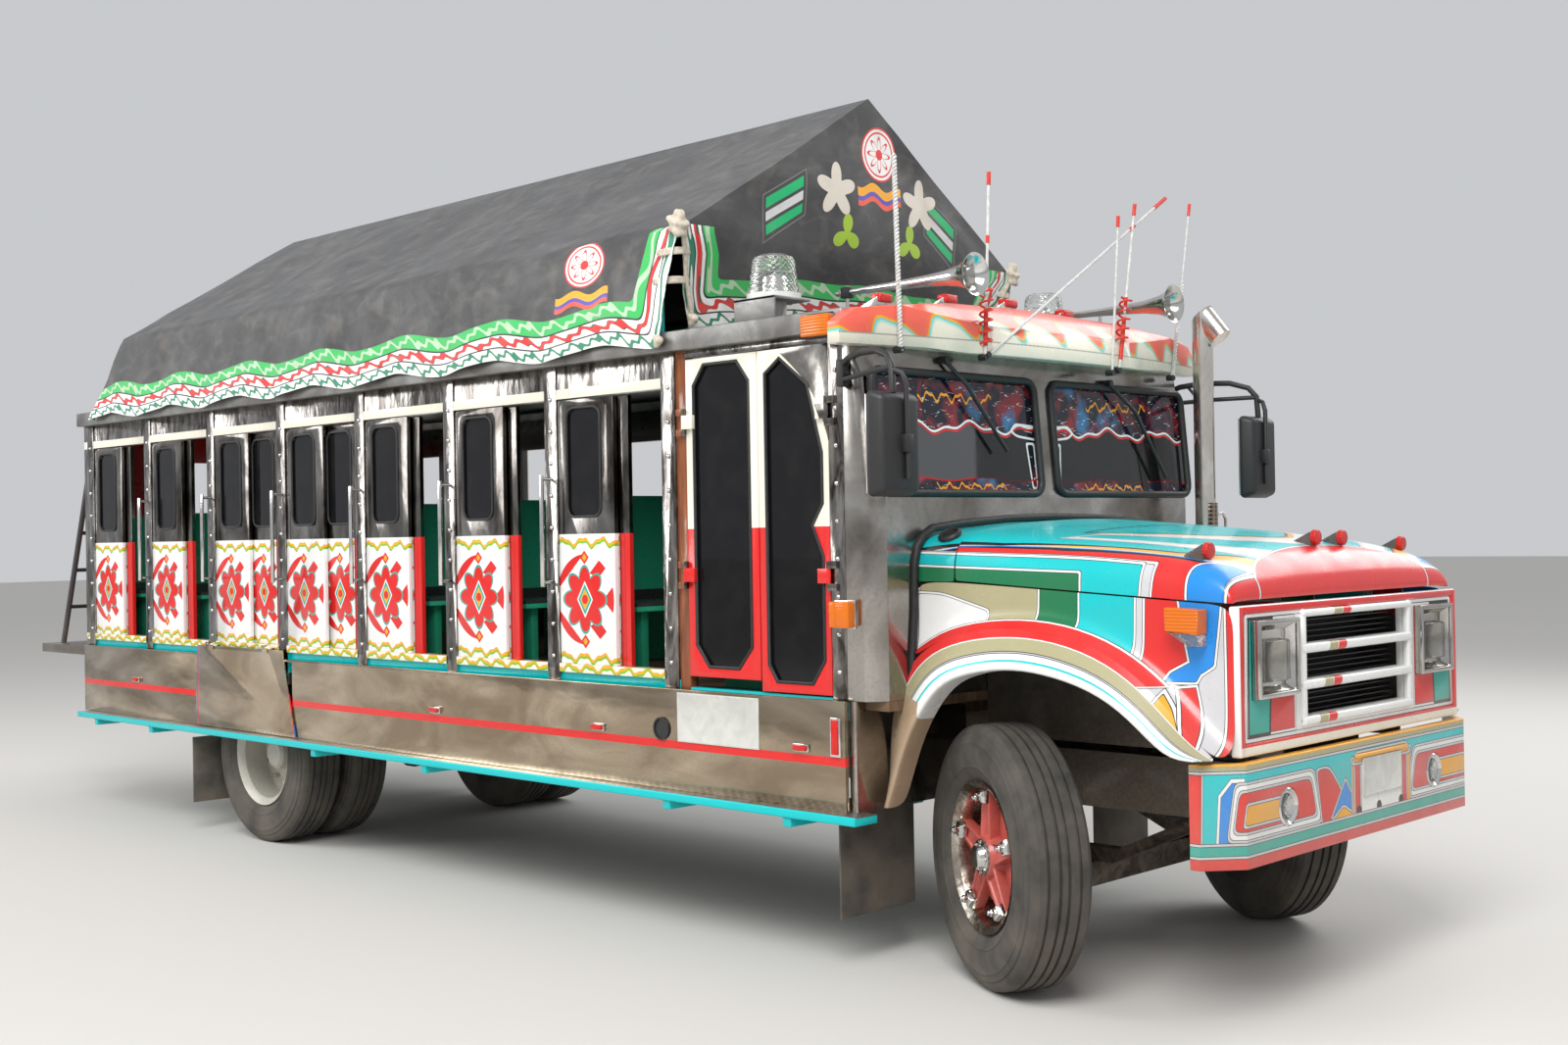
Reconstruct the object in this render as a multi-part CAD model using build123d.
# Long-nosed country bus with open bench bays, a covered roof rack and a wooden floor.
# X runs forward, Y to the left, Z up; the ground is Z = 0. All sizes are millimetres.
from build123d import *
import os
from math import cos, pi, radians, sin

# Stations along the bus
NOSE_X = 4725             # front face of the grille surround
BUMPER_X = 4775           # front face of the bumper
FRONT_AXLE_X = 3753
WHEELBASE = 5528
REAR_AXLE_X = FRONT_AXLE_X - WHEELBASE
A_POST_X = 3125           # front face of the post ahead of the cab doors
KICK_X = A_POST_X + 40    # front face of the kick panels behind the front wheels
FIREWALL_X = A_POST_X + 165        # cab front at the foot of the windscreen
A_POST_W = 80
VISOR_TIP_X = A_POST_X + 256       # foremost point of the visor, on the middle plane
B_POST_X = 2055           # centre of the foremost bay post
POST_PITCH = 855
POST_W = 92
POST_COUNT = 8
JAMB_W = 64               # wooden jamb between the bay post and the cab door
BODY_REAR_X = B_POST_X - (POST_COUNT - 1) * POST_PITCH - 95
PLATFORM_REAR_X = -4775
BUMPER_T = 50
BUMPER_END_X = 4610

# Widths from the middle plane
SIDE_Y = 1200             # outer face of the posts
POST_DEPTH = 60
SKIRT_Y = 1222
BOARD_Y = 1300            # outer edge of the running board
NOSE_HALF_REAR = 956      # side of the nose where it meets the cab
NOSE_HALF_FRONT = NOSE_HALF_REAR - 51
FLARE_Y = NOSE_HALF_REAR + 139     # outer edge of the front wheel arch
GUTTER_Y = 1245

# Heights
FLOOR_Z = 1130
FLOOR_T = 40
BEARER_H = 105
RAIL_TOP_Z = 900
RAIL_H = 230
BOARD_Z = 676
BOARD_T = 36
SKIRT_TOP_Z = 1130
LOW_RAIL_Z = 1170         # underside of the painted rail below the bay doors
LOW_RAIL_H = 40
TOP_RAIL_Z = 2484
TOP_RAIL_H = 46
HEADER_Z = 2640           # top of the panel above the bays, where the gutter starts
GUTTER_H = 90
ROOF_CROWN_Z = 2815
ROOF_T = 26
BONNET_SPLIT_FRONT_Z = 1532
BONNET_SPLIT_REAR_Z = 1610
BUMPER_Z = (600, 975)
PANEL_T = 12

# Wheels
TYRE_R = 525
TYRE_W = 280
WHEEL_SIDES = 24
RIM_R = 286
FLANGE_R = 298
KINGPIN_Y = 780
TYRE_OFFSET = 130         # kingpin to the tyre's middle plane
STEER_DEG = 29          # the front wheels stand turned to the right
KINGPIN_R = 20
SPINDLE_R = 32
RUNNING_FIT = 0.05
BEARING_SIDES = 12
DUAL_Y = 1007             # middle plane of the outer rear tyre
DUAL_GAP = 322            # between the middle planes of a pair
REAR_TUBE_R = 58
ARM_BACK = 170            # steering arm, kingpin to ball
BALL_Z = TYRE_R - 128
BALL_R = 14

# Bay doors
LEAF_W = 416
LEAF_T = 24
LEAF_GAP = 6              # between a leaf and the rail above it
SEAT = 0.3                # between a piece and what carries it
LEAF_WINDOW = (70, 320, 1914, 2436)   # rear and front edge from the leaf's own, sill and head
SLIDE_OPEN = 73           # an open leaf stands this far ahead of the fixed one
CLOSED_BAYS = (3, 4)

# Cab doors
DOOR_SPLIT_X = 2625
DOOR_TOP_Z = 2600
REAR_LEAF_FOOT_Z = 1190
FRONT_LEAF_FOOT_Z = 1146
DOOR_T = 36
DOOR_GAP = 8
DOOR_HINGE_Z = (1640, 2320)
REAR_HINGE_X = B_POST_X + POST_W / 2 + JAMB_W + DOOR_GAP / 2
FRONT_HINGE_X = A_POST_X - A_POST_W - DOOR_GAP / 2

# Hinges with a round pin
PIN_R = 6
BARREL_R = 10
HINGE_Y = SIDE_Y + 10     # pins of the cab doors
COVER_PIN = (SKIRT_Y + 14, 1192)   # pin of a rear wheel cover, Y and Z
BONNET_PIN = (3340, 1800)          # X and Z
BONNET_ARM_Y = 250

# Nose, side view: the arch's opening edge and the crease of the fender above it, X and Z
ARCH_CENTRE = (3920, 650)
ARCH = (
    ((3237, 690), (3168, 690)), ((3277, 794), (3172, 860)), ((3350, 997), (3190, 1120)),
    ((3482, 1182), (3300, 1300)), ((3608, 1246), (3480, 1400)), ((3825, 1282), (3760, 1440)),
    ((4009, 1271), (4030, 1425)), ((4229, 1220), (4270, 1345)), ((4396, 1122), (4450, 1215)),
    ((4535, 975), (4600, 1060)), ((4664, 875), (4700, 960)),
)
COWL_FRONT_X = 3492
BONNET_REAR_X = 3500
COWL_CROWN_Z = 1856
BONNET_CROWN = (1862, 1735)        # rear and front

# Covered rack
TARP_HEM = (1275, 2665)
TARP_SHOULDER = (1220, 3190)
TARP_RIDGE_Z = 3960
TARP_T = 12
TARP_SIDE = ((1975, 2600), (1975, 2665), (2180, 3190), (2240, 4000), (-3245, 4000), (-3345, 3190),
             (-3735, 2665), (-3735, 2600))
RACK_REAR_X = -3225
RACK_FRONT_X = 2120
RACK_RAIL = (1188.8, 3169.7)       # centre of a side tube, Y and Z
RACK_RIDGE_Z = 3921.6
RACK_TUBE_R = 20


PARTS = {}


def span(x, y, z):
    """Box between a low and a high place along each axis."""
    centre = [(low + high) / 2 for low, high in (x, y, z)]
    return Pos(*centre) * Box(x[1] - x[0], y[1] - y[0], z[1] - z[0])


def prism(axis, points, low, high):
    """Closed outline of straight edges, run along an axis from low to high."""
    place = {"x": lambda u, v: (low, u, v), "y": lambda u, v: (u, low, v), "z": lambda u, v: (u, v, low)}
    way = {"x": (1, 0, 0), "y": (0, 1, 0), "z": (0, 0, 1)}
    wire = Polyline(*[place[axis](u, v) for u, v in points], close=True)
    return extrude(make_face(wire), amount=high - low, dir=way[axis])


def bar(start, end, radius, sides=8, turn=0):
    """Round bar in flat facets between two points, turned about its length by some degrees."""
    a, b = Vector(*start), Vector(*end)
    return extrude(Plane(origin=a, z_dir=b - a) * RegularPolygon(radius, sides, rotation=turn), amount=(b - a).length)


def pin(start, end, radius):
    """Bearing pin or spindle between two points."""
    return bar(start, end, radius, BEARING_SIDES)


def bore(start, end, radius):
    """Cut for a pin of that radius, whose flats the pin's corners ride on."""
    reach = (radius + RUNNING_FIT) / cos(pi / BEARING_SIDES)
    return bar(start, end, reach, BEARING_SIDES, 180 / BEARING_SIDES)


def facets(profile, sides):
    """Solid about the Y axis in flat facets, from a closed outline of places along it and distances to its flats."""
    def at(row, k):
        angle = pi * (2 * k + 1) / sides
        reach = row[1] / cos(pi / sides)
        return Vector(reach * cos(angle), row[0], reach * sin(angle))
    faces = []
    for a, b in zip(profile, profile[1:] + profile[:1]):
        for k in range(sides if a[1] or b[1] else 0):
            corners = [at(a, k)] + ([at(a, k + 1)] if a[1] else []) + ([at(b, k + 1)] if b[1] else []) + [at(b, k)]
            faces.append(Face(Wire.make_polygon(corners, close=True)))
    return Solid(Shell(faces))


def between(rings):
    """Closed solid through like outlines, one after another, with flat triangles from each to the next."""
    def face(points):
        return Face(Wire.make_polygon([Vector(*point) for point in points], close=True))
    faces = [face(rings[0]), face(rings[-1])]
    for a, b in zip(rings, rings[1:]):
        for k in range(len(a)):
            n = (k + 1) % len(a)
            faces += [face((a[k], a[n], b[n])), face((a[k], b[n], b[k]))]
    return Solid(Shell(faces))


def both(shape):
    """A shape and its mirror image on the other side of the bus."""
    return [shape, mirror(shape, Plane.XZ)]


def fuse(shapes):
    """One solid from shapes that meet."""
    total = shapes[0]
    for shape in shapes[1:]:
        total = total + shape
    return total


def keep(name, *shapes):
    """File shapes under the node they belong to."""
    for shape in shapes:
        PARTS.setdefault(name, []).extend(shape.solids())


def wheel_place(side):
    """Where a front wheel's own frame stands: outboard is -Y for the right and +Y for the left."""
    return Pos(FRONT_AXLE_X, side * KINGPIN_Y, TYRE_R) * Rot(0, 0, -STEER_DEG)


def hinge(fixed_reach, fixed_depth, moving_reach, moving_depth):
    """Pin hinge about Z: the fixed strap lies towards -X, the moving one towards +X, the panel towards +Y."""
    spindle, hole = pin((0, 0, -60), (0, 0, 60), PIN_R), bore((0, 0, -40), (0, 0, 40), PIN_R)

    def strap(x, depth, z):
        return span(x, (-5, depth), z)
    outer = [bar((0, 0, low), (0, 0, low + 30), BARREL_R) for low in (-61, 31)]
    outer += [strap((-fixed_reach, 0), fixed_depth, z) for z in ((-61, -31), (31, 61))]
    fixed = fuse([spindle] + outer)
    moving = bar((0, 0, -30.5), (0, 0, 30.5), BARREL_R) + strap((0, moving_reach), moving_depth, (-30.5, 30.5))
    return fixed, moving - hole


def door_hinges(x, facing, heights):
    """Right-side door hinges: the fixed and the moving halves; facing -1 puts the door behind the pin."""
    halves = [hinge(45, 24 if facing > 0 else 13, 60, 15)] * len(heights)
    turned = [Pos(x, -HINGE_Y, z) for z in heights]
    if facing < 0:
        halves = [tuple(mirror(half, Plane.YZ) for half in pair) for pair in halves]
    fixed = [place * pair[0] for place, pair in zip(turned, halves)]
    moving = [place * pair[1] for place, pair in zip(turned, halves)]
    return fixed, moving


def chassis():
    """Ladder frame of two channel rails and their cross-members."""
    inner = 432 - 75
    channel = [(inner, RAIL_TOP_Z - RAIL_H), (432, RAIL_TOP_Z - RAIL_H), (432, RAIL_TOP_Z), (inner, RAIL_TOP_Z),
               (inner, RAIL_TOP_Z - 10), (422, RAIL_TOP_Z - 10), (422, RAIL_TOP_Z - RAIL_H + 10),
               (inner, RAIL_TOP_Z - RAIL_H + 10)]
    rail = prism("x", channel, BODY_REAR_X + 30, BUMPER_X - BUMPER_T - SEAT)
    crossings = [span((x - 50, x + 50), (-425, 425), (RAIL_TOP_Z - 140, RAIL_TOP_Z - 40))
                 for x in (4600, 2900, 1500, 0, -1150, -2400, -3900)]
    keep("chassis_frame", fuse(both(rail) + crossings))


def running_gear():
    """Beam axle, springs, rear axle with its shaft, and the engine as a plain mass."""
    beam_z, eye_z = 400, TYRE_R
    inner = KINGPIN_Y - 60
    half = [(inner - 220, beam_z - 55), (inner - 80, eye_z - 50), (inner, eye_z - 50), (inner, eye_z + 50),
            (inner - 60, eye_z + 50), (inner - 190, beam_z + 45)]
    arms = half + [(-y, z) for y, z in reversed(half)]
    beam = prism("x", arms, FRONT_AXLE_X - 40, FRONT_AXLE_X + 40)
    ends = []
    for y in (-KINGPIN_Y, KINGPIN_Y):
        ends.append(bar((FRONT_AXLE_X, y, eye_z - 52), (FRONT_AXLE_X, y, eye_z + 52), 62, 12))
        ends.append(pin((FRONT_AXLE_X, y, eye_z - 112), (FRONT_AXLE_X, y, eye_z + 112), KINGPIN_R))
    keep("front_axle", fuse([beam] + ends))

    springs = []
    top = RAIL_TOP_Z - RAIL_H - SEAT
    for axle_x, half, low in ((FRONT_AXLE_X, 560, beam_z + 45 + SEAT),
                              (REAR_AXLE_X, 680, TYRE_R + REAR_TUBE_R + SEAT)):
        leaf = [(axle_x - half, top - 24), (axle_x - 120, low), (axle_x + 120, low), (axle_x + half, top - 24),
                (axle_x + half, top), (axle_x + half - 60, top), (axle_x + 140, low + 60), (axle_x - 140, low + 60),
                (axle_x - half + 60, top), (axle_x - half, top)]
        springs += both(prism("y", leaf, 365, 430))
    keep("leaf_springs", *springs)

    half = [(-190, 0), (-160, 110), (-70, 180)]
    housing = Pos(REAR_AXLE_X, 0, TYRE_R) * facets(half + [(-y, r) for y, r in reversed(half)], 12)
    tube = pin((REAR_AXLE_X, -1040, TYRE_R), (REAR_AXLE_X, 1040, TYRE_R), REAR_TUBE_R)
    bearing_x, bearing_z, engine_x = 1500, 645, 3330
    shafts = [bar((REAR_AXLE_X, 0, TYRE_R), (bearing_x, 0, bearing_z), 40),
              bar((bearing_x, 0, bearing_z), (engine_x - 2, 0, 720), 36)]
    bearing = span((bearing_x - 40, bearing_x + 40), (-70, 70), (600, RAIL_TOP_Z - 140 - SEAT))
    keep("rear_axle", fuse([housing, tube, bearing] + shafts))

    block = span((engine_x, 4250), (-300, 300), (670, 1420))
    mounts = [span((x - 40, x + 40), (-422 + SEAT, 422 - SEAT), (790, 850)) for x in (3440, 4120)]
    keep("engine_block", fuse([block] + mounts))
    keep("radiator", span((4480, 4540), (-400, 400), (RAIL_TOP_Z + SEAT, 1500)))
    tank = bar((850, 660, 760), (1950, 660, 760), 200, 16)
    straps = [span((x - 30, x + 30), (432 + SEAT, 500), (690, 830)) for x in (1080, 1720)]
    keep("fuel_tank", fuse([tank] + straps))


def tyre():
    """Road tyre about the Y axis, its middle plane at Y = 0."""
    half = TYRE_W / 2
    bead = 103 - SEAT
    profile = [(-bead, RIM_R), (-bead, FLANGE_R + 4), (-half, 410), (-half + 34, TYRE_R)]
    return facets(profile + [(-y, r) for y, r in reversed(profile)], WHEEL_SIDES)


def rim():
    """Rim that the tyre sits on, with its flange outboard at -Y."""
    seat = RIM_R - SEAT
    return facets([(-112, FLANGE_R), (-103, FLANGE_R), (-103, seat), (108, seat), (108, RIM_R - 16),
                   (-112, RIM_R - 16)], WHEEL_SIDES)


def spoked_hub():
    """Cast hub and brake drum with five arms that reach the rim; outboard is -Y."""
    body = bar((0, 28, 0), (0, -105, 0), 92, 12)
    cap = bar((0, -105, 0), (0, -142, 0), 62)
    drum = bar((0, 30, 0), (0, -60, 0), 205, 12)
    arms = [Rot(0, 72 * k, 0) * span((-34, 34), (-98, -60), (60, RIM_R - 10)) for k in range(5)]
    return fuse([body, cap, drum] + arms) - bore((0, 60, 0), (0, -98, 0), SPINDLE_R)


def front_wheels():
    """Knuckles with their steering arms, and the wheels, turned to the right as they stand."""
    for side, name in ((-1, "right"), (1, "left")):
        spot = wheel_place(side)
        ears = [bar((0, 0, z - 23), (0, 0, z + 23), 55, 12) for z in (-78, 78)]
        cheek = span((-55, 55), tuple(sorted((side * 66, side * 92))), (-101, 101))
        webs = [span((-50, 50), tuple(sorted((0, side * 80))), (z - 23, z + 23)) for z in (-78, 78)]
        spindle = pin((0, side * 80, 0), (0, side * 225, 0), SPINDLE_R)
        arm = span((-ARM_BACK - 25, 0), (-25, 25), (-101, -70))
        knuckle = fuse(ears + [cheek] + webs + [spindle, arm]) - bore((0, 0, -130), (0, 0, 130), KINGPIN_R)
        ball = pin((-ARM_BACK, 0, BALL_Z - TYRE_R - 10), (-ARM_BACK, 0, -90), BALL_R)
        keep(f"knuckle_{name}", spot * (knuckle + ball))

        turned = spot * Pos(0, side * TYRE_OFFSET, 0) * Rot(0, 0, 0 if side < 0 else 180)
        keep(f"front_tyre_{name}", turned * tyre())
        keep(f"front_wheel_{name}", turned * fuse([rim(), spoked_hub()]))


def ball_place(side):
    """Ball of a steering arm, in the bus's frame."""
    turn = radians(-STEER_DEG)
    x, y = -ARM_BACK, 0
    return (FRONT_AXLE_X + x * cos(turn) - y * sin(turn), side * KINGPIN_Y + x * sin(turn) + y * cos(turn))


def tie_rod():
    """Rod that joins the two steering arms behind the axle."""
    right, left = ball_place(-1), ball_place(1)
    link = bar((right[0], right[1] + 20, BALL_Z), (left[0], left[1] - 20, BALL_Z), 17)
    ends = [bar((x, y, BALL_Z - 9), (x, y, BALL_Z + 9), 32, 12) for x, y in (right, left)]
    holes = [bore((x, y, BALL_Z - 30), (x, y, BALL_Z + 30), BALL_R) for x, y in (right, left)]
    keep("tie_rod", fuse([link] + ends) - holes[0] - holes[1])


def rear_wheels():
    """Twin wheels on each end of the rear axle; outboard is -Y."""
    def disc(y):
        return facets([(y - 12, 0), (y - 12, RIM_R - 12), (y + 12, RIM_R - 12), (y + 12, 0)], WHEEL_SIDES)
    for side, name in ((-1, "right"), (1, "left")):
        turn = Rot(0, 0, 0 if side < 0 else 180)
        outer = Pos(REAR_AXLE_X, side * DUAL_Y, TYRE_R) * turn
        inner = Pos(REAR_AXLE_X, side * (DUAL_Y - DUAL_GAP), TYRE_R) * turn
        keep(f"rear_tyres_{name}", outer * tyre(), inner * tyre())
        hub = bar((0, -40, 0), (0, 300, 0), 150, 12)
        joined = fuse([rim(), disc(60), hub, disc(270), Pos(0, DUAL_GAP, 0) * rim()])
        keep(f"rear_wheels_{name}", outer * (joined - bore((0, -35, 0), (0, 600, 0), REAR_TUBE_R)))


def floor():
    """Plank floor on cross bearers and two long sleepers."""
    under = FLOOR_Z - FLOOR_T
    deck = span((BODY_REAR_X + 40, A_POST_X), (-1135, 1135), (under, FLOOR_Z))
    toe = span((A_POST_X - 5, FIREWALL_X), (-1135, 1135), (under, FLOOR_Z))
    sleeper = span((BODY_REAR_X + 60, 2950), (360, 432), (RAIL_TOP_Z + 0.3, under - BEARER_H))
    bearers = []
    for x in (-3900, -3150, -2500, -1775, -1050, -450, 400, 1250, 2050, 2900):
        reach = 480 if abs(x - REAR_AXLE_X) < 640 else 1130
        bearers.append(span((x - 40, x + 40), (-reach, reach), (under - BEARER_H, under)))
    keep("floor", fuse([deck, toe] + both(sleeper) + bearers))


def post_x(index):
    """Centre of a bay post, counted back from the foremost."""
    return B_POST_X - index * POST_PITCH


def bay(index):
    """Clear opening between two posts, rear and front edge; bay 1 is the rearmost."""
    rear = post_x(POST_COUNT - index)
    return rear + POST_W / 2, rear + POST_PITCH - POST_W / 2


def leaf(x, y):
    """Bay door leaf with its window cut."""
    low, high = LOW_RAIL_Z + LOW_RAIL_H + SEAT, TOP_RAIL_Z - LEAF_GAP
    panel = span((x, x + LEAF_W), (y, y + LEAF_T), (low, high))
    x0, x1, z0, z1 = LEAF_WINDOW
    hole = span((x + x0, x + x1), (y - 10, y + LEAF_T + 10), (z0, z1))
    return panel - chamfer(hole.edges().filter_by(Axis.Y), 40)


def right_side():
    """Posts, rails and header of the open side, with the fixed leaf of every bay and the sliding ones."""
    inner = -(SIDE_Y - POST_DEPTH)
    posts = [span((post_x(k) - POST_W / 2, post_x(k) + POST_W / 2), (-SIDE_Y, inner), (FLOOR_Z - 150, HEADER_Z))
             for k in range(POST_COUNT)]
    corner = span((BODY_REAR_X, post_x(POST_COUNT - 1)), (-SIDE_Y, inner), (FLOOR_Z - 150, HEADER_Z))
    front = span((A_POST_X - A_POST_W, A_POST_X), (-SIDE_Y, inner), (FLOOR_Z - 150, HEADER_Z))
    jamb_x = B_POST_X + POST_W / 2
    jamb = span((jamb_x, jamb_x + JAMB_W), (-SIDE_Y + 12, inner), (FLOOR_Z - 150, HEADER_Z))
    rear_x = BODY_REAR_X + 10
    sill = span((rear_x, A_POST_X - 10), (-SIDE_Y + 14, inner), (FLOOR_Z - 60, FLOOR_Z + 8))
    rails = []
    for k in range(1, POST_COUNT):
        low, high = bay(k)
        rails.append(span((low - 5, high + 5), (-SIDE_Y - 4, inner), (LOW_RAIL_Z, LOW_RAIL_Z + LOW_RAIL_H)))
        rails.append(span((low - 5, high + 5), (-SIDE_Y + 14, inner), (FLOOR_Z, LOW_RAIL_Z)))
        rails.append(span((low - 5, high + 5), (-SIDE_Y + 4, inner), (TOP_RAIL_Z, TOP_RAIL_Z + TOP_RAIL_H)))
    header = span((rear_x, A_POST_X - 10), (-SIDE_Y + 8, inner), (DOOR_TOP_Z + DOOR_GAP, HEADER_Z))
    bay_header = span((rear_x, jamb_x), (-SIDE_Y + 8, inner), (TOP_RAIL_Z + TOP_RAIL_H - 2, HEADER_Z))
    lugs = door_hinges(REAR_HINGE_X, 1, DOOR_HINGE_Z)[0] + door_hinges(FRONT_HINGE_X, -1, DOOR_HINGE_Z)[0]
    frame = fuse(posts + [corner, front, jamb, sill, header, bay_header] + rails + lugs)
    keep("right_side_frame", fuse([frame] + cover_hinges()[0]))

    outer_y = -SIDE_Y + 6
    slide_y = outer_y + LEAF_T + 6
    for k in range(1, POST_COUNT):
        low, high = bay(k)
        keep("fixed_leaves", leaf(low + SEAT, outer_y))
        start = high - LEAF_W - LEAF_GAP if k in CLOSED_BAYS else low + SLIDE_OPEN
        keep(f"bay_door_{k}", leaf(start, slide_y))


def cab_door(x0, x1, foot, y0, y1, window):
    """Cab door leaf with a cut-cornered window."""
    panel = span((x0, x1), (y0, y1), (foot, DOOR_TOP_Z))
    return panel - prism("y", window, y0 - 10, y1 + 10)


def cab_doors():
    """Two leaves on the right and the driver's door on the left."""
    rear_x = REAR_HINGE_X + DOOR_GAP / 2
    front_x = FRONT_HINGE_X - DOOR_GAP / 2
    outer, inner = -SIDE_Y + 4, -SIDE_Y + 4 + DOOR_T
    tall = [(2222, 1330), (2300, 1235), (2490, 1235), (2572, 1330), (2572, 2480), (2500, 2570), (2290, 2570),
            (2222, 2480)]
    rear = cab_door(rear_x, DOOR_SPLIT_X - DOOR_GAP / 2, REAR_LEAF_FOOT_Z, outer, inner, tall)
    keep("cab_door_rear", fuse([rear] + door_hinges(REAR_HINGE_X, 1, DOOR_HINGE_Z)[1]))
    curved = [(2672, 1260), (2720, 1190), (2930, 1190), (3000, 1290), (3000, 1720), (2940, 1850), (3000, 1940),
              (3000, 2150), (2920, 2440), (2760, 2560), (2672, 2500)]
    front = cab_door(DOOR_SPLIT_X + DOOR_GAP / 2, front_x, FRONT_LEAF_FOOT_Z, outer, inner, curved)
    keep("cab_door_front", fuse([front] + door_hinges(FRONT_HINGE_X, -1, DOOR_HINGE_Z)[1]))
    pane = [(2330, 1850), (2950, 1850), (2950, 2400), (2850, 2500), (2430, 2500), (2330, 2400)]
    driver = cab_door(rear_x, front_x, FRONT_LEAF_FOOT_Z, outer, inner, pane)
    driver = fuse([driver] + door_hinges(FRONT_HINGE_X, -1, DOOR_HINGE_Z)[1])
    keep("driver_door", mirror(driver, Plane.XZ))


def cover_hinges():
    """Fixed and moving halves of the hinges of the right rear wheel cover."""
    y, z = COVER_PIN
    fixed, moving = [], []
    for x in (REAR_AXLE_X - 400, REAR_AXLE_X + 260):
        still, mover = hinge(14, y - SIDE_Y, 32, 8)
        place = Pos(x, -y, z) * Rot(0, 90, 0)
        fixed.append(place * still)
        moving.append(place * mover)
    return fixed, moving


def left_side():
    """Closed side: panelled below, open windows between the posts above."""
    inner = SIDE_Y - POST_DEPTH
    wall = span((BODY_REAR_X, B_POST_X + POST_W / 2 + JAMB_W), (inner, SIDE_Y), (FLOOR_Z - 150, HEADER_Z))
    header = span((B_POST_X, A_POST_X - 10), (inner, SIDE_Y - 8), (DOOR_TOP_Z + DOOR_GAP, HEADER_Z))
    front = span((A_POST_X - A_POST_W, A_POST_X), (inner, SIDE_Y), (FLOOR_Z - 150, HEADER_Z))
    sill = span((B_POST_X, A_POST_X - 10), (inner, SIDE_Y - 14), (FLOOR_Z - 60, FLOOR_Z + 10))
    rail = span((bay(2)[0] - 5, bay(4)[1] + 5), (inner, SIDE_Y + 4), (LOW_RAIL_Z, LOW_RAIL_Z + LOW_RAIL_H))
    lugs = door_hinges(FRONT_HINGE_X, -1, DOOR_HINGE_Z)[0] + cover_hinges()[0]
    side = fuse([wall, header, front, sill, rail] + [mirror(lug, Plane.XZ) for lug in lugs])
    for k in range(1, POST_COUNT):
        low, high = bay(k)
        side = side - span((low + 40, high - 40), (inner - 5, SIDE_Y + 5), (1880, 2440))
    keep("left_side_wall", side)


def rear_end():
    """Rear wall with its window, the platform and the ladder."""
    inner = SIDE_Y - POST_DEPTH - SEAT
    wall = span((BODY_REAR_X, BODY_REAR_X + 38), (-inner, inner), (FLOOR_Z + 0.3, HEADER_Z))
    wall = wall - span((BODY_REAR_X - 5, BODY_REAR_X + 45), (-700, 700), (1850, 2400))
    keep("rear_wall", wall)

    deck = span((PLATFORM_REAR_X, BODY_REAR_X - SEAT), (-SIDE_Y, SIDE_Y), (FLOOR_Z - 75, FLOOR_Z - 15))
    arms = both(span((PLATFORM_REAR_X + 60, BODY_REAR_X + 30 - SEAT), (357, 432), (780, FLOOR_Z - 75)))
    rails = [bar((PLATFORM_REAR_X + 80, y, FLOOR_Z - 20), (BODY_REAR_X - 60, y, HEADER_Z + 60), 20)
             for y in (-1080, -620)]
    rungs = []
    for k in range(1, 6):
        share = k / 6
        x = PLATFORM_REAR_X + 80 + share * (BODY_REAR_X - 140 - PLATFORM_REAR_X)
        z = FLOOR_Z - 20 + share * (HEADER_Z + 80 - FLOOR_Z)
        rungs.append(bar((x, -1085, z), (x, -615, z), 14))
    keep("rear_platform", fuse([deck] + arms + rails + rungs))


def roof():
    """Arched roof sheet with a gutter along each side, and the painted visor over the windscreen."""
    def arch(drop, half):
        return [(-half, HEADER_Z + 0.3), (-half, HEADER_Z + GUTTER_H - drop), (-half / 2, ROOF_CROWN_Z - 22 - drop),
                (0, ROOF_CROWN_Z - drop), (half / 2, ROOF_CROWN_Z - 22 - drop), (half, HEADER_Z + GUTTER_H - drop),
                (half, HEADER_Z + 0.3)]
    front = A_POST_X + 40
    outer = prism("x", arch(0, GUTTER_Y), BODY_REAR_X - 20, front)
    inner = prism("x", arch(ROOF_T, GUTTER_Y - 60), BODY_REAR_X + 20, front + 1)
    keep("roof", outer - inner)

    side = [(front + SEAT, 2640 + SEAT), (front + SEAT, 2820), (front + 90, 2780), (front + 190, 2690), (front + 215, 2620),
            (front + 215, 2565), (front + 180, 2565), (front + 150, 2640)]
    back, ends, tip = front - 5, 1330, VISOR_TIP_X
    plan = make_face(Polyline((tip - 150, -ends, 2500), (back, -ends, 2500), (back, ends, 2500), (tip - 150, ends, 2500))
                     + ThreePointArc((tip - 150, ends, 2500), (tip, 0, 2500), (tip - 150, -ends, 2500)))
    crown = [(ends, 2540), (ends, 2665), (GUTTER_Y, 2722), (622, 2790), (0, 2815)]
    crown += [(-y, z) for y, z in reversed(crown[:-1])]
    shade = prism("y", side, -ends, ends) & extrude(plan, amount=400, dir=(0, 0, 1))
    keep("visor", shade & prism("x", crown, back, tip + 10))


def roof_top(y):
    """Height of the roof's outer face at a distance from the middle."""
    half = GUTTER_Y / 2
    edge, shoulder = HEADER_Z + GUTTER_H, ROOF_CROWN_Z - 22
    if abs(y) > half:
        return shoulder + (edge - shoulder) * (abs(y) - half) / half
    return ROOF_CROWN_Z + (shoulder - ROOF_CROWN_Z) * abs(y) / half


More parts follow.
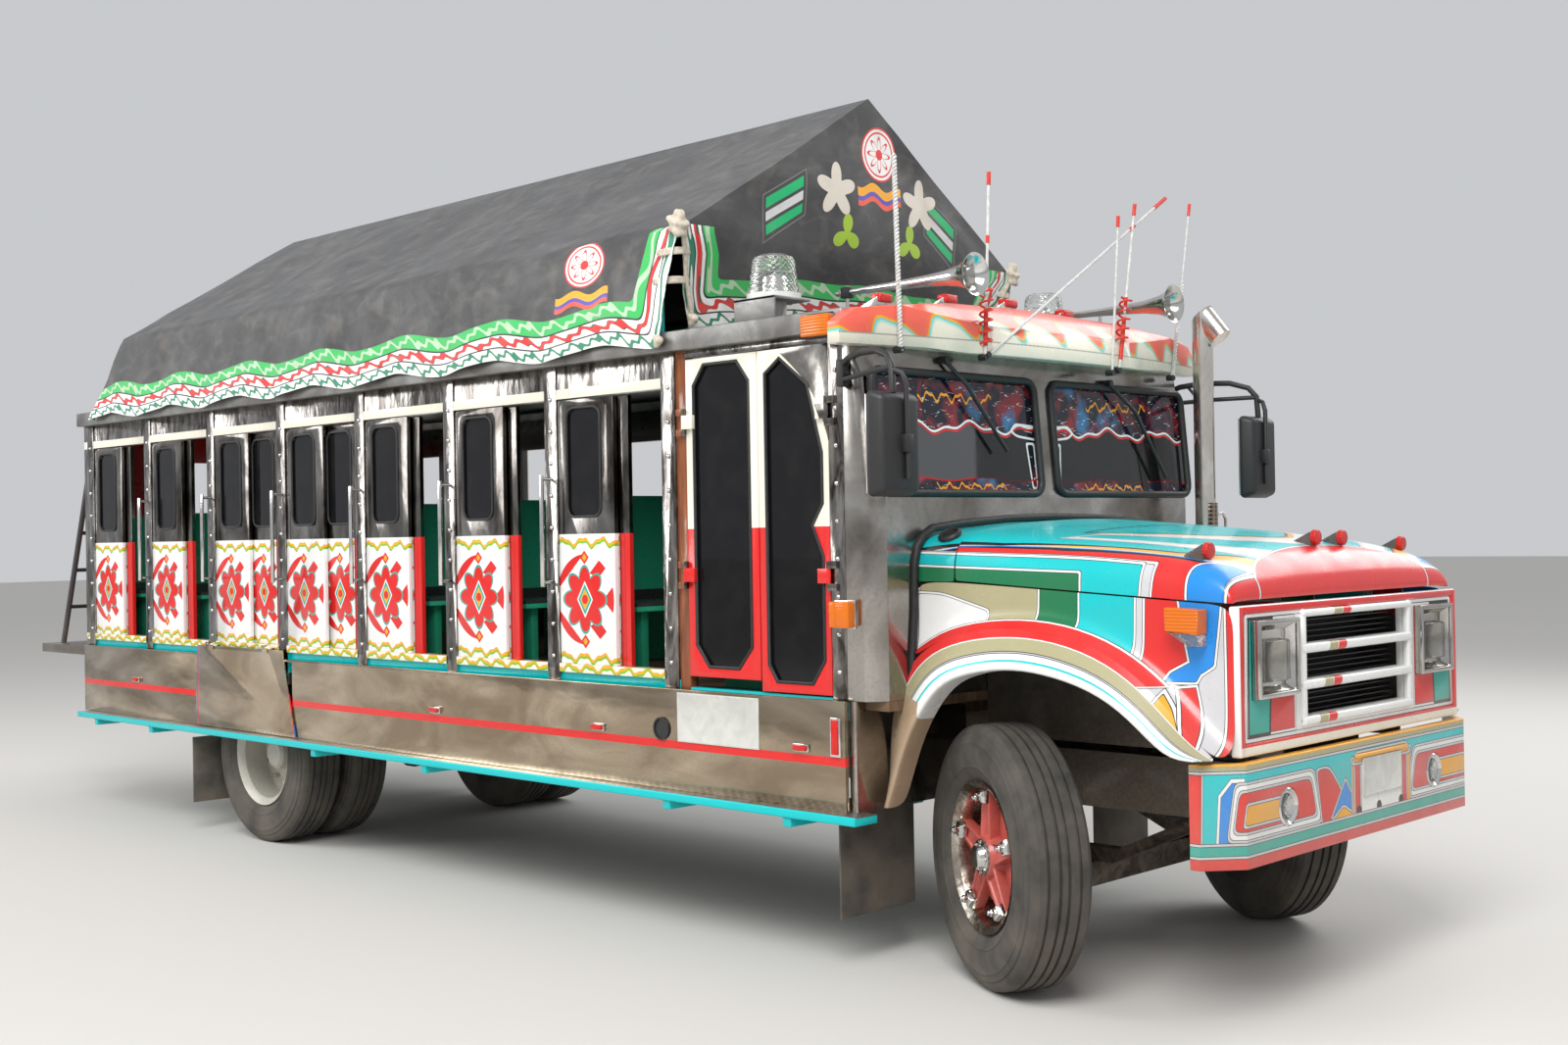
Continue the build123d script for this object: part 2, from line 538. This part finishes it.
def roof_rack():
    """Tube frame on the roof that carries the sheet."""
    y, z = RACK_RAIL
    rails = both(bar((RACK_REAR_X, y, z), (RACK_FRONT_X, y, z), RACK_TUBE_R))
    ridge = bar((RACK_REAR_X, 0, RACK_RIDGE_Z), (RACK_FRONT_X, 0, RACK_RIDGE_Z), RACK_TUBE_R)
    hoops = []
    for k in range(4):
        x = RACK_REAR_X + 40 + k * (RACK_FRONT_X - RACK_REAR_X - 190) / 3
        foot = 1150
        hoops += both(bar((x, foot, roof_top(foot - 18) + SEAT), (x, foot, z - 120), 18, 4))
        hoops += both(bar((x, foot, z - 125), (x, y, z), 16, 4))
        hoops += both(bar((x, y, z), (x, 0, RACK_RIDGE_Z), 18, 4))
    keep("roof_rack", fuse(rails + [ridge] + hoops))


def tarpaulin():
    """Ridged sheet over the rack, open below, its ends sloping out."""
    def tent(inset):
        hem_y, hem_z = TARP_HEM
        shoulder_y, shoulder_z = TARP_SHOULDER
        return [(-hem_y + inset, hem_z - inset), (-shoulder_y + inset, shoulder_z - inset * 0.7),
                (0, TARP_RIDGE_Z - inset * 1.2), (shoulder_y - inset, shoulder_z - inset * 0.7),
                (hem_y - inset, hem_z - inset)]
    front, rear = TARP_SIDE[3][0], TARP_SIDE[6][0]
    side = list(TARP_SIDE)
    within = [(x - TARP_T if x > 0 else x + TARP_T, z) for x, z in side]
    outer = prism("x", tent(0), rear - 10, front + 10) & prism("y", side, -1400, 1400)
    inner = prism("x", tent(TARP_T), rear - 10, front + 10) & prism("y", within, -1400, 1400)
    over = 6
    top = [(-GUTTER_Y - over, 2500), (-GUTTER_Y - over, roof_top(GUTTER_Y) + over),
           (-GUTTER_Y / 2, roof_top(GUTTER_Y / 2) + over), (0, ROOF_CROWN_Z + over),
           (GUTTER_Y / 2, roof_top(GUTTER_Y / 2) + over), (GUTTER_Y + over, roof_top(GUTTER_Y) + over),
           (GUTTER_Y + over, 2500)]
    keep("tarpaulin", outer - inner - prism("x", top, rear - 50, front + 50))


def grow(points, by):
    """Move every point of a side outline away from the arch's centre."""
    cx, cz = ARCH_CENTRE
    moved = []
    for x, z in points:
        length = ((x - cx) ** 2 + (z - cz) ** 2) ** 0.5
        moved.append((x + (x - cx) * by / length, z + (z - cz) * by / length))
    return moved


def nose_half(x):
    """Half width of the nose at a station."""
    share = max(0, (x - BONNET_REAR_X) / (NOSE_X - BONNET_REAR_X))
    return NOSE_HALF_REAR + (NOSE_HALF_FRONT - NOSE_HALF_REAR) * share


def split_z(x):
    """Height of the seam between wing and bonnet at a station."""
    share = max(0, (x - BONNET_REAR_X) / (NOSE_X - BONNET_REAR_X))
    return BONNET_SPLIT_REAR_Z + (BONNET_SPLIT_FRONT_Z - BONNET_SPLIT_REAR_Z) * share


def wing():
    """Left wing: side skin, hollow fender with its arch, inner apron and the shelf above the wheel."""
    cab_x = FIREWALL_X + 1
    opening = [row[0] for row in ARCH]
    crease = [row[1] for row in ARCH]
    edge = grow(opening, 26)

    def ring(y, points):
        return [(x, y, z) for x, z in [(points[0][0], 300)] + points + [(points[-1][0], 300)]]
    crease_y = NOSE_HALF_REAR + 44
    shell = between([ring(NOSE_HALF_FRONT - 45, crease), ring(crease_y, crease), ring(FLARE_Y, edge)])
    core = between([ring(NOSE_HALF_FRONT - 55, grow(crease, -14)), ring(crease_y - 8, grow(crease, -14)),
                    ring(FLARE_Y - 14, grow(edge, -14))])
    foot, toe, chin, top = opening[0][1], FLOOR_Z - FLOOR_T - 2, BUMPER_Z[1] + 10, BONNET_SPLIT_REAR_Z + 40
    reach = (NOSE_HALF_FRONT - 105, FLARE_Y + 105)
    allowed = [(KICK_X + 1, foot), (KICK_X + 1, toe), (cab_x, toe), (cab_x, top), (NOSE_X, top), (NOSE_X, chin),
               (BUMPER_END_X - 20, chin), (BUMPER_END_X - 20, foot)]
    cut = prism("y", [(opening[0][0], foot - 290)] + opening + [(opening[-1][0], foot - 290)], *reach)
    fender = (shell - core - cut) & prism("y", allowed, *reach)

    def plan(outer, inner):
        rows = [(cab_x, outer(cab_x)), (BONNET_REAR_X, outer(BONNET_REAR_X)), (NOSE_X, outer(NOSE_X))]
        rows += [(NOSE_X, inner(NOSE_X)), (BONNET_REAR_X, inner(BONNET_REAR_X)), (cab_x, inner(cab_x))]
        return rows
    side = prism("z", plan(nose_half, lambda x: nose_half(x) - PANEL_T), toe - 100, top + 40)
    outline = [(cab_x, toe), (cab_x, BONNET_SPLIT_REAR_Z), (BONNET_REAR_X, BONNET_SPLIT_REAR_Z),
               (NOSE_X, BONNET_SPLIT_FRONT_Z), (NOSE_X, chin), (BUMPER_END_X - 20, chin)]
    skin = side & prism("y", outline, *reach)
    below = grow(crease, -7)
    skin = skin - prism("y", [(below[0][0], foot - 290)] + below + [(below[-1][0], foot - 290)], *reach)
    shelf_z = max(z for _, z in crease)
    shelf = prism("z", plan(lambda x: nose_half(x) - 4, lambda x: 430), shelf_z, shelf_z + PANEL_T)
    shelf = shelf & span((cab_x, NOSE_X - 45), (0, NOSE_HALF_REAR), (shelf_z - 10, shelf_z + 60))
    apron = span((cab_x + 1, NOSE_X - 45), (480, 480 + PANEL_T), (RAIL_TOP_Z + 40, shelf_z + 5))
    brackets = [span((x - 25, x + 25), (432 + SEAT, 485), (840, 970)) for x in (3420, 4380)]
    buffers = [prism("y", [(x - 12, split_z(x - 12) - 5), (x + 12, split_z(x + 12) - 5),
                           (x + 12, split_z(x + 12) + 6 - SEAT), (x - 12, split_z(x - 12) + 6 - SEAT)],
                     nose_half(x) - 11, nose_half(x) - 1) for x in (3700, 4600)]
    return fuse([fender, skin, shelf, apron] + brackets + buffers)


def crown_row(half, low, crown):
    """Cross-section of the bonnet from one lower edge over the top to the other, Y and Z."""
    rise = crown - low
    right = [(-half, low), (-half + 14, low + 0.42 * rise), (-half + 76, low + 0.72 * rise),
             (-half / 2, crown - 0.1 * rise)]
    return right + [(0, crown)] + [(-y, z) for y, z in reversed(right)]


def nose():
    """Wings in one shell with the grille surround, the hinged bonnet and the fixed cowl."""
    face = span((NOSE_X - PANEL_T, NOSE_X), (-NOSE_HALF_FRONT, NOSE_HALF_FRONT), (990, BONNET_SPLIT_FRONT_Z - 20))
    inside = NOSE_HALF_FRONT - 35
    face = face - span((NOSE_X - 50, NOSE_X + 50), (-inside, inside), (1015, BONNET_SPLIT_FRONT_Z + 70))
    keep("wings", fuse(both(wing()) + [face]))

    front_x = NOSE_X - 6
    outer, inner = [], []
    for x, crown in ((BONNET_REAR_X, BONNET_CROWN[0]), (front_x, BONNET_CROWN[1])):
        half, low = nose_half(x), split_z(x) + 6
        outer.append([(x, y, z) for y, z in crown_row(half, low, crown)])
        inner.append([(x, y, z) for y, z in crown_row(half - PANEL_T, low - PANEL_T, crown - PANEL_T)])
    core = between(inner) & span((3400, front_x - PANEL_T), (-1000, 1000), (1400, 1900))
    shell = between(outer) - core
    px, pz = BONNET_PIN
    bends = [(px, pz), (px + 110, pz - 140), (px + 190, pz - 130), (px + 228, pz + 36)]
    arm = fuse([bar((a[0], BONNET_ARM_Y, a[1]), (b[0], BONNET_ARM_Y, b[1]), 9) for a, b in zip(bends, bends[1:])]
               + [Pos(x, BONNET_ARM_Y, z) * Box(16, 16, 16) for x, z in bends[1:3]])
    eye = bar((px, BONNET_ARM_Y - 11, pz), (px, BONNET_ARM_Y + 11, pz), 16)
    arm = fuse([arm, eye]) - bore((px, 200, pz), (px, 300, pz), PIN_R)
    keep("bonnet", fuse([shell] + both(arm)))

    x, low = FIREWALL_X + 1, BONNET_SPLIT_REAR_Z + SEAT
    row = crown_row(NOSE_HALF_REAR, low, COWL_CROWN_Z)
    inside = crown_row(NOSE_HALF_REAR - PANEL_T, low - PANEL_T, COWL_CROWN_Z - PANEL_T)
    cowl = prism("x", row, x, COWL_FRONT_X) - prism("x", inside, x - 5, COWL_FRONT_X + 5)
    ears = [span((px - 36, px + 16), (y, y + 10), (pz - 14, pz + 38)) for y in (BONNET_ARM_Y - 22, BONNET_ARM_Y + 12)]
    spindle = pin((px, BONNET_ARM_Y - 20, pz), (px, BONNET_ARM_Y + 20, pz), PIN_R)
    keep("cowl", fuse([cowl] + both(fuse(ears + [spindle]))))


def grille():
    """White grille of three openings, the surround and its lamps."""
    x0, x1 = NOSE_X - 30, NOSE_X + 12
    half = NOSE_HALF_FRONT - 35 - SEAT
    frame = span((x0, x1), (-half, half), (1015 + SEAT, BONNET_SPLIT_FRONT_Z - 24))
    for low in (1100, 1236, 1372):
        frame = frame - span((x0 - 5, x1 + 5), (-430, 430), (low, low + 100))
    for side in (-1, 1):
        frame = frame - Pos(NOSE_X, side * 665, 1330) * Box(100, 300, 280)
    keep("grille", frame)
    for side in (-1, 1):
        keep("lamps", Pos(NOSE_X + 2, side * 665, 1330) * Box(70, 300 - 2 * SEAT, 280 - 2 * SEAT))


def bumper():
    """Pressed bumper with its ends turned back."""
    end = BUMPER_END_X
    plan = [(BUMPER_X, -912), (BUMPER_X, 912), (end + 40, 1045), (end, 1045), (BUMPER_X - BUMPER_T, 900),
            (BUMPER_X - BUMPER_T, -900), (end, -1045), (end + 40, -1045)]
    pressing = prism("z", plan, *BUMPER_Z)
    for side in (-1, 1):
        y, z = side * 613, 788
        pressing = pressing - bar((BUMPER_X - 60, y, z), (BUMPER_X + 20, y, z), 72, 12)
        keep("lamps", bar((BUMPER_X - 48, y, z), (BUMPER_X - 4, y, z), 72 - SEAT, 12))
    keep("front_bumper", pressing)


def cab_front():
    """Front wall of the cab with two windscreen openings, its side returns and the kick panels."""
    def ring(front, half, z):
        pts = [(A_POST_X + 0.3, -half, z), (front - 70, -half, z), (front, -half + 70, z), (front, half - 70, z),
               (front - 70, half, z), (A_POST_X + 0.3, half, z), (A_POST_X + 0.3, half - 30, z),
               (front - 84, half - 30, z), (front - 30, half - 84, z), (front - 30, -half + 84, z),
               (front - 84, -half + 30, z), (A_POST_X + 0.3, -half + 30, z)]
        return make_face(Polyline(*pts, close=True)).face()
    low = loft([ring(FIREWALL_X, SIDE_Y, FLOOR_Z + 0.3), ring(FIREWALL_X, SIDE_Y, 1950)], ruled=True)
    high = loft([ring(FIREWALL_X, SIDE_Y, 1950), ring(FIREWALL_X - 60, SIDE_Y, HEADER_Z - 0.3)], ruled=True)
    wall = low + high
    for side in (-1, 1):
        a, b = sorted((side * 62, side * 1165))
        pane = chamfer(span((FIREWALL_X - 90, FIREWALL_X + 110), (a, b), (1975, 2480)).edges().filter_by(Axis.X), 30)
        wall = wall - pane
    kick = both(span((A_POST_X + 0.3, KICK_X), (480, 1195), (BOARD_Z + 0.3, FLOOR_Z - FLOOR_T - 0.3)))
    skin = both(span((A_POST_X + 0.3, KICK_X), (1140, 1195), (BOARD_Z + 0.3, FLOOR_Z + 20)))
    keep("cab_front", fuse([wall] + kick + skin))
    lean = Pos(FIREWALL_X - 42, 0, 2227) * Rot(0, -5, 0)
    for side in (-1, 1):
        pane = Box(6, 1102.4, 504)
        pane = chamfer(pane.edges().filter_by(Axis.X), 30)
        keep("windscreen", lean * Pos(0, side * 613.5, 0) * pane)


def cab_inside():
    """Dashboard, steering column and wheel."""
    back = FIREWALL_X - 30 - SEAT
    dash = prism("y", [(back, 1650), (back, 1940), (back - 110, 1940), (back - 240, 1860), (back - 240, 1700),
                       (back - 140, 1650)], -1100, 1100)
    column = bar((back - 200, 600, 1780), (back - 370, 600, 1895), 26)
    keep("dashboard", dash + column)
    ring = Rot(90, 0, 0) * facets([(-13, 212), (-13, 238), (13, 238), (13, 212)], 16)
    spokes = Box(440, 36, 14) + Box(36, 440, 14) + bar((0, 0, -12), (0, 0, 12), 44, 8)
    keep("steering_wheel", Pos(back - 380, 600, 1902) * Rot(0, -56, 0) * (ring + spokes))


def benches():
    """One bench across each bay and one in the cab."""
    for k in range(1, POST_COUNT + 1):
        rear = bay(k)[0] + 20 if k < POST_COUNT else B_POST_X + 120
        seat = span((rear + 30, rear + 420), (-1080, 1080), (1460, 1500))
        back = prism("y", [(rear, 1462), (rear + 34, 1462), (rear - 20, 2020), (rear - 46, 2020)], -1080, 1080)
        legs = [span((rear + 40, rear + 380), (y - 20, y + 20), (FLOOR_Z + 0.3, 1462)) for y in (-1000, 0, 1000)]
        keep("benches", fuse([seat, back] + legs))


def lower_sides():
    """Polished skirts, running boards on their brackets, hinged wheel covers and flaps."""
    wheel = (REAR_AXLE_X - 600, REAR_AXLE_X + 540)
    skirt = span((BODY_REAR_X, A_POST_X), (SIDE_Y + SEAT, SKIRT_Y), (BOARD_Z + SEAT, SKIRT_TOP_Z))
    keep("skirts", *both(skirt - span(wheel, (1100, 1300), (700, 1115))))
    board = span((BODY_REAR_X + 50, 3241), (1160, BOARD_Y), (BOARD_Z - BOARD_T, BOARD_Z))
    arms = []
    for x in (-3700, -2900, -900, 200, 2100, 2850):
        arms.append(span((x - 25, x + 25), (432 + SEAT, BOARD_Y - 10), (BOARD_Z - BOARD_T - 40, BOARD_Z - BOARD_T)))
        arms.append(span((x - 25, x + 25), (432 + SEAT, 470), (BOARD_Z - BOARD_T - 5, 780)))
    keep("running_boards", *both(fuse([board] + arms)))
    x = REAR_AXLE_X
    plate = prism("y", [(x - 631, 682), (x - 587, 1182), (x + 447, 1182), (x + 585, 682)], -SKIRT_Y - 9, -SKIRT_Y - 1)
    cover = fuse([plate] + cover_hinges()[1])
    keep("wheel_cover_right", cover)
    keep("wheel_cover_left", mirror(cover, Plane.XZ))
    for x, y0, y1, z0, z1 in ((A_POST_X - 105, 680, 1150, 215, 685), (REAR_AXLE_X - 650, 700, 1240, 190, 600)):
        flap = span((x - 5, x + 5), (y0, y1), (z0, z1))
        drop = [span((x - 8, x + 8), (y0, y0 + 60), (z1 - 20, 700))]
        bar = span((x - 8, x + 8), (432 + SEAT, min(y1, 1150)), (680, 710))
        keep("mudflaps", *both(fuse([flap, bar] + drop)))


def outside_fittings():
    """Mirrors, horns, grab rails, lamps and the exhaust stack."""
    x = A_POST_X + 427
    foot = span((A_POST_X + 5, A_POST_X + 55), (SIDE_Y + SEAT, SIDE_Y + 18), (2430, 2490))
    head = Pos(x, 1420, 2154) * Box(70, 190, 420)
    stalk = bar((x, 1420, 2470), (x, 1420, 2350), 12)
    arm = bar((A_POST_X + 30, SIDE_Y + 16, 2460), (x, 1420, 2450), 12)
    keep("mirrors", *both(fuse([head, stalk, arm, foot])))

    y, z, length = 757, 2875, 777
    trumpet = [(0, 0), (0, 16), (0.6 * length, 40), (0.9 * length, 62), (length, 90), (length, 0)]
    trumpet = Pos(VISOR_TIP_X + 96 - length, y, z) * Rot(0, 0, -90) * facets(trumpet, 12)
    feet = [bar((A_POST_X - back, y, roof_top(y - 12) + SEAT), (A_POST_X - back, y, z), 10, 6) for back in (365, 65)]
    keep("horns", *both(fuse([trumpet] + feet)))

    for x in [post_x(k) for k in range(1, POST_COUNT - 1)]:
        rail = bar((x, -SIDE_Y - 60, 1580), (x, -SIDE_Y - 60, 2120), 12, 6)
        feet = [bar((x, -SIDE_Y - SEAT, z), (x, -SIDE_Y - 60, z), 9, 4) for z in (1600, 2100)]
        keep("grab_rails", fuse([rail] + feet))

    beacon = bar((2545, 1000, 2845), (2545, 1000, 3045), 125, 12)
    stem = bar((2545, 1000, roof_top(938) + SEAT), (2545, 1000, 2850), 60)
    corner = span((A_POST_X - 150, A_POST_X + 10), (GUTTER_Y + SEAT, GUTTER_Y + 45), (2620, 2710))
    box = span((A_POST_X - 60, A_POST_X + 55), (SIDE_Y + SEAT, SIDE_Y + 50), (1427, 1540))
    rear, front = NOSE_X - 245, NOSE_X - 100
    plan = [(rear, nose_half(rear) + SEAT), (front, nose_half(front) + SEAT), (front - 15, 985), (rear + 25, 985)]
    turn_lamp = prism("z", plan, BONNET_SPLIT_FRONT_Z - 147, BONNET_SPLIT_FRONT_Z - 4)
    keep("lamps", *both(fuse([beacon, stem])), *both(corner), *both(box), *both(turn_lamp))
    for x in (2881, 1557, 223, -3225):
        keep("lamps", *both(span((x - 48, x + 48), (SKIRT_Y + SEAT, SKIRT_Y + 22), (908, 942))))
    for y in (-880, -440, 0, 440, 880):
        x, z = A_POST_X - 75, roof_top(max(0, abs(y) - 12))
        shell = bar((x - 45, y, z + 34), (x + 45, y, z + 34), 28)
        keep("lamps", shell + bar((x, y, z + SEAT), (x, y, z + 30), 10, 6))

    x, y, low = FIREWALL_X + 125, 1110, 1335
    pipe = bar((x, y, low), (x, y, 2900), 50, 12)
    elbow = bar((x, y, low + 120), (x, NOSE_HALF_REAR + SEAT, low + 120), 45, 12)
    keep("exhaust_stack", pipe + elbow)


def write_parts():
    """One file per node."""
    os.makedirs("parts", exist_ok=True)
    for name, solids in PARTS.items():
        export_step(Compound(children=solids), f"parts/{name}.step")


chassis()
running_gear()
front_wheels()
tie_rod()
rear_wheels()
floor()
right_side()
cab_doors()
left_side()
rear_end()
roof()
roof_rack()
tarpaulin()
nose()
grille()
bumper()
cab_front()
cab_inside()
benches()
lower_sides()
outside_fittings()
write_parts()
